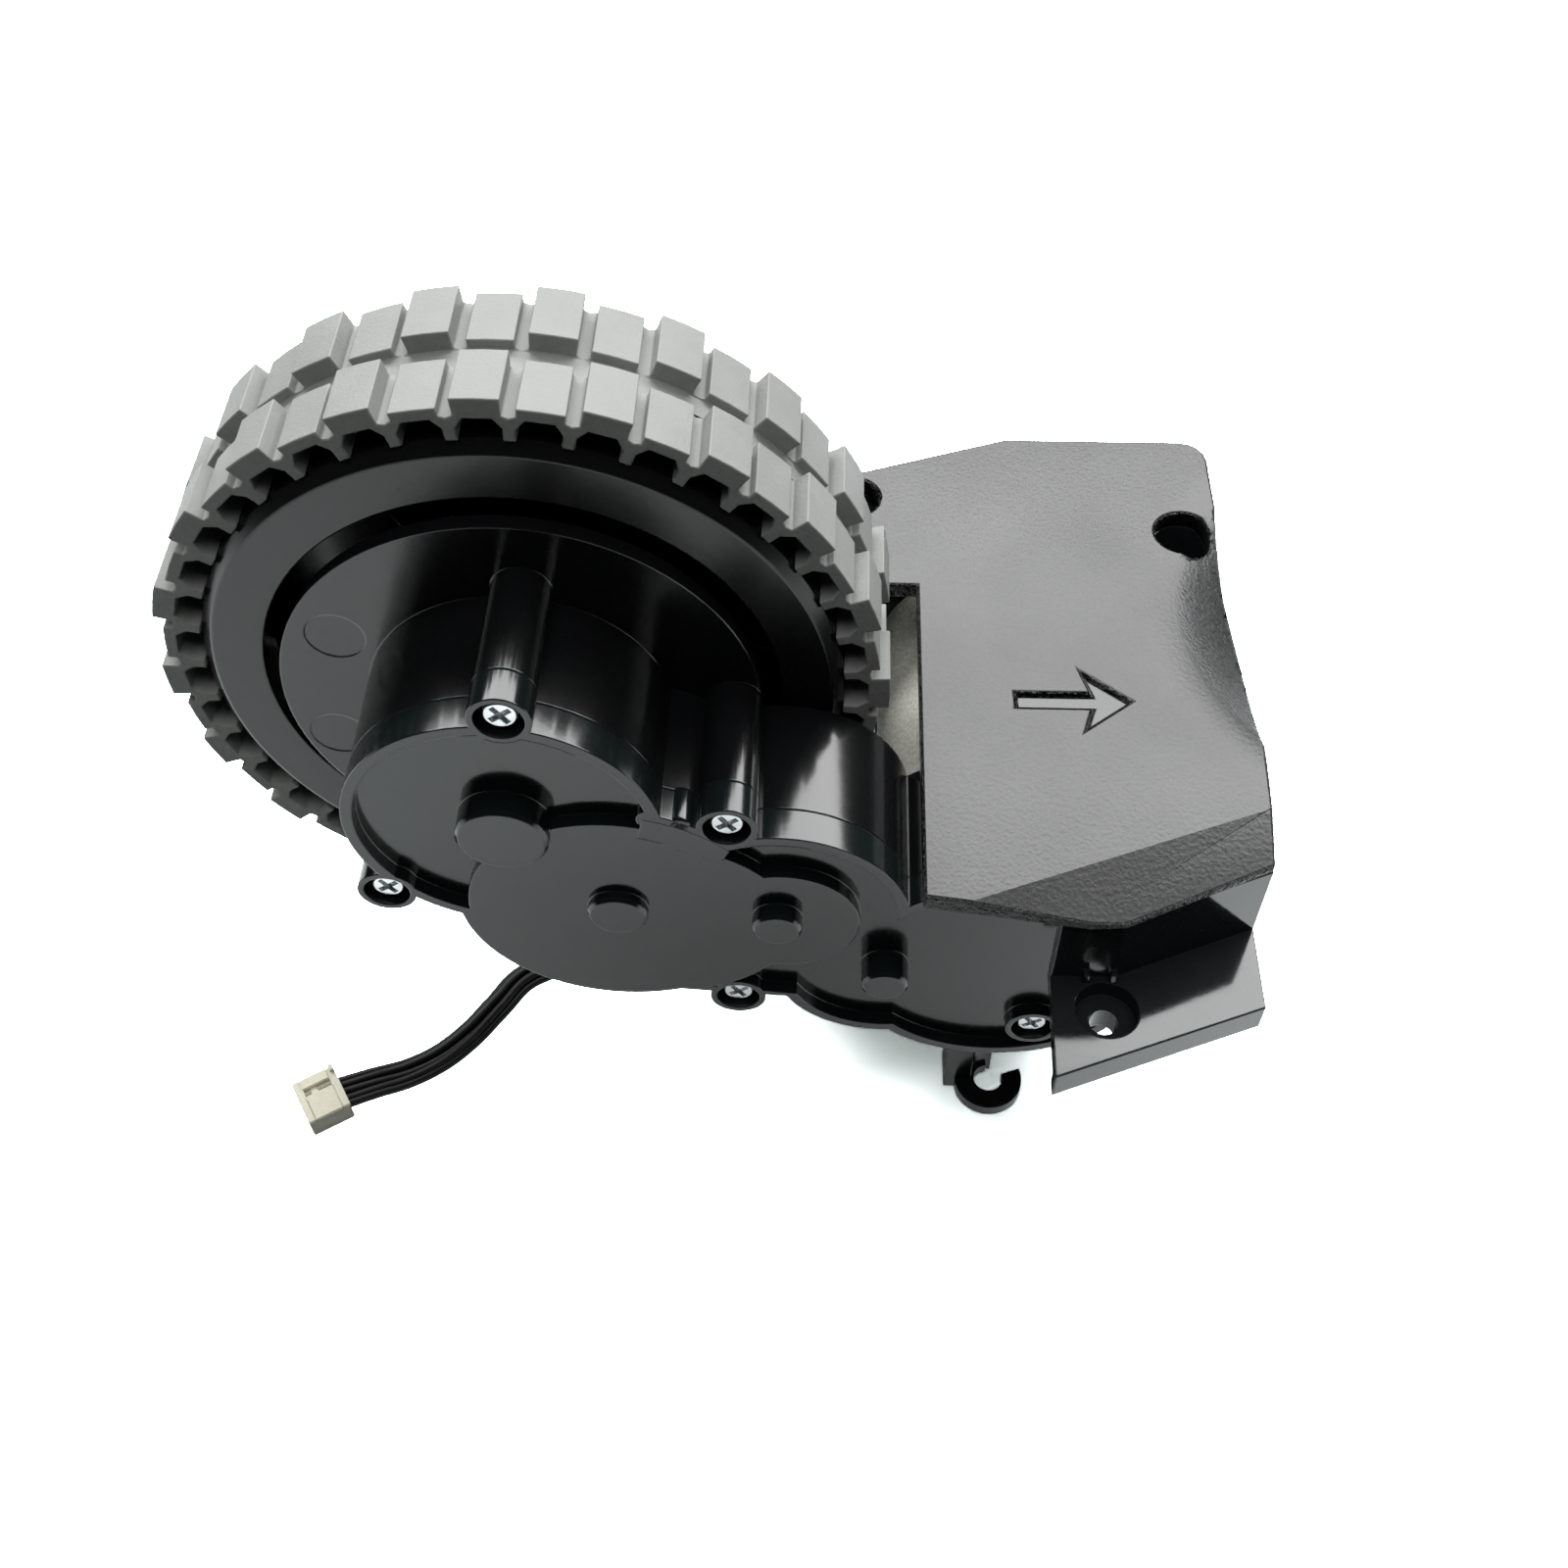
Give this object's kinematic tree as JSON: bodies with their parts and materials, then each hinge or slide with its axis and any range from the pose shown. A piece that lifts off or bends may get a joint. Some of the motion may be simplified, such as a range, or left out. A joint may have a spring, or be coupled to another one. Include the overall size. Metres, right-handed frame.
{
  "type": "robot vacuum wheel module",
  "caption": "Drive wheel module of a robot vacuum: rubber-tyred wheel on a sprung gearbox arm that swings in a flush-mounted frame, with its motor and plug-ended cable.",
  "frame": {"origin": "middle of the module's outline without its cable, on the plane its frame stands on", "axes": "+X along the arm from the wheel to the frame, +Y along the axle away from the gear cover, +Z out of the robot's underside"},
  "size_m": [0.107, 0.0756, 0.0875],
  "materials": {
    "frame_plastic": "glossy injection-moulded ABS, black",
    "cover_plastic": "fine spark-eroded texture, dark grey",
    "housing_plastic": "glossy injection-moulded ABS, black",
    "gear_cover_plastic": "glossy injection-moulded ABS, black",
    "screw_steel": "zinc-plated steel",
    "pin_steel": "ground steel",
    "spring_steel": "drawn spring wire",
    "bush_bronze": "sintered bronze",
    "can_steel": "zinc-plated drawn steel",
    "cap_plastic": "glass-filled nylon, black",
    "ferrite": "sintered ferrite",
    "carbon": "carbon brush on a copper leaf",
    "board": "glass epoxy with green solder mask",
    "connector_plastic": "natural nylon, cream",
    "wire_insulation": "black PVC insulation, five wires side by side",
    "tyre_rubber": "mid-grey moulded rubber",
    "hub_plastic": "glossy injection-moulded ABS, black",
    "gear_plastic": "acetal, natural",
    "pinion_brass": "turned brass",
    "lamination": "stacked electrical steel",
    "copper": null
  },
  "bodies": {
    "frame": {"frame": "frame_plastic", "surface_cover": "cover_plastic", "cover_screws": "screw_steel", "pivot_pin": "pin_steel", "pin_clip": "spring_steel", "torsion_spring": "spring_steel"},
    "arm": {"gearbox_housing": "housing_plastic", "gear_cover": "gear_cover_plastic", "gear_cover_screws": "screw_steel", "shaft_bush_front": "bush_bronze", "shaft_bearing_rear": "pin_steel", "axle_pin_b": "pin_steel", "axle_pin_c": "pin_steel", "axle_pin_d": "pin_steel", "motor_can": "can_steel", "motor_end_cap": "cap_plastic", "field_magnets": "ferrite", "brushes": "carbon", "motor_screws": "screw_steel", "encoder_board": "board", "board_header": "connector_plastic", "harness_wires": "wire_insulation", "harness_plug": "connector_plastic"},
    "wheel": {"tyre": "tyre_rubber", "wheel_hub": "hub_plastic", "output_shaft": "pin_steel", "output_gear": "gear_plastic", "hub_screw": "screw_steel"},
    "gear_b": {"gear_b": "gear_plastic"},
    "gear_c": {"gear_c": "gear_plastic"},
    "gear_d": {"gear_d": "gear_plastic"},
    "rotor": {"rotor_shaft": "pin_steel", "motor_pinion": "pinion_brass", "armature_core": "lamination", "armature_windings": "copper", "commutator": "copper", "encoder_magnet": "ferrite"}
  },
  "joints": [
    {"name": "arm_swing", "type": "hinge", "parent": "frame", "child": "arm", "pos_m": [0.04644, -0.0065, 0.02851], "axis": [0, -1, 0], "range_deg": [0, 27], "stiffness_Nm_per_rad": 0.25, "springref_deg": -51.57, "deforming": ["torsion_spring"]},
    {"name": "wheel_spin", "type": "hinge", "parent": "arm", "child": "wheel", "pos_m": [-0.0185, -0.0065, 0.0525], "axis": [0, 1, 0], "continuous": true},
    {"name": "gear_b_spin", "type": "hinge", "parent": "arm", "child": "gear_b", "pos_m": [-0.00904, -0.0065, 0.0406], "axis": [0, 1, 0], "continuous": true},
    {"name": "gear_c_spin", "type": "hinge", "parent": "arm", "child": "gear_c", "pos_m": [0.00613, -0.0065, 0.03962], "axis": [0, 1, 0], "continuous": true},
    {"name": "gear_d_spin", "type": "hinge", "parent": "arm", "child": "gear_d", "pos_m": [0.01676, -0.0065, 0.02991], "axis": [0, 1, 0], "continuous": true},
    {"name": "rotor_spin", "type": "hinge", "parent": "arm", "child": "rotor", "pos_m": [0.02824, -0.0065, 0.03001], "axis": [0, 1, 0], "continuous": true}
  ],
  "couplings": [
    {"joint": "gear_b_spin", "follows": "wheel_spin", "ratio": -2.4545},
    {"joint": "gear_c_spin", "follows": "wheel_spin", "ratio": 6.8727},
    {"joint": "gear_d_spin", "follows": "wheel_spin", "ratio": -12.533},
    {"joint": "rotor_spin", "follows": "wheel_spin", "ratio": 33.122}
  ]
}
